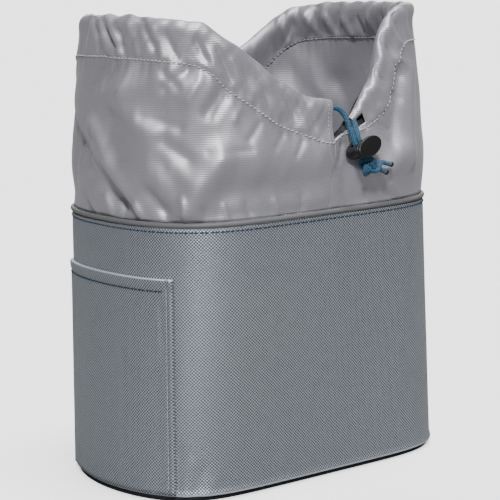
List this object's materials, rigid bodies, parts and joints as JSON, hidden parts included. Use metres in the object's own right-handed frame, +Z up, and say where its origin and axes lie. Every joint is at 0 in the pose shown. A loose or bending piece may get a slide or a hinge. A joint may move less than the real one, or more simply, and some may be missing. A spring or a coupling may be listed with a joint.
{
  "type": "handlebar_bag",
  "caption": "Open-topped handlebar bag: stiff woven lower wall with side pocket, thin gathered drawcord collar, sprung cord lock, two strap loops behind",
  "frame": {"origin": "centre of the base panel's underside, on the surface the bag stands on", "axes": "+Z up, the front with the cord lock faces -Y, the side pocket is on the -X end"},
  "size_m": [0.2381, 0.2192, 0.2916],
  "materials": {
    "woven": "coarse basket-woven polyester, faint sheen",
    "nylon": "thin satin nylon, finely ribbed",
    "piping": "smooth bound piping",
    "base": "coated black base cloth",
    "cord": "braided cord with light flecks",
    "lock": "moulded, fine satin",
    "strap": "flat webbing"
  },
  "bodies": {
    "bag": {"body_wall": "woven", "base_panel": "base", "body_piping": "piping", "side_pocket": "woven", "collar_left": "nylon", "collar_right": "nylon", "channel_left": "nylon", "channel_right": "nylon", "cord_in_channel": "cord", "cord_left": "cord", "cord_right": "cord", "cord_knot": "cord", "lock_barrel": "lock", "strap_loop_left": "strap", "strap_loop_right": "strap"},
    "button": {"lock_button": "lock"}
  },
  "joints": [
    {"name": "button_press", "type": "slide", "parent": "bag", "child": "button", "axis": [0, 0.9703, -0.2419], "range_m": [0, 0.0019], "stiffness_N_per_m": 1000, "springref_m": -0.003}
  ]
}
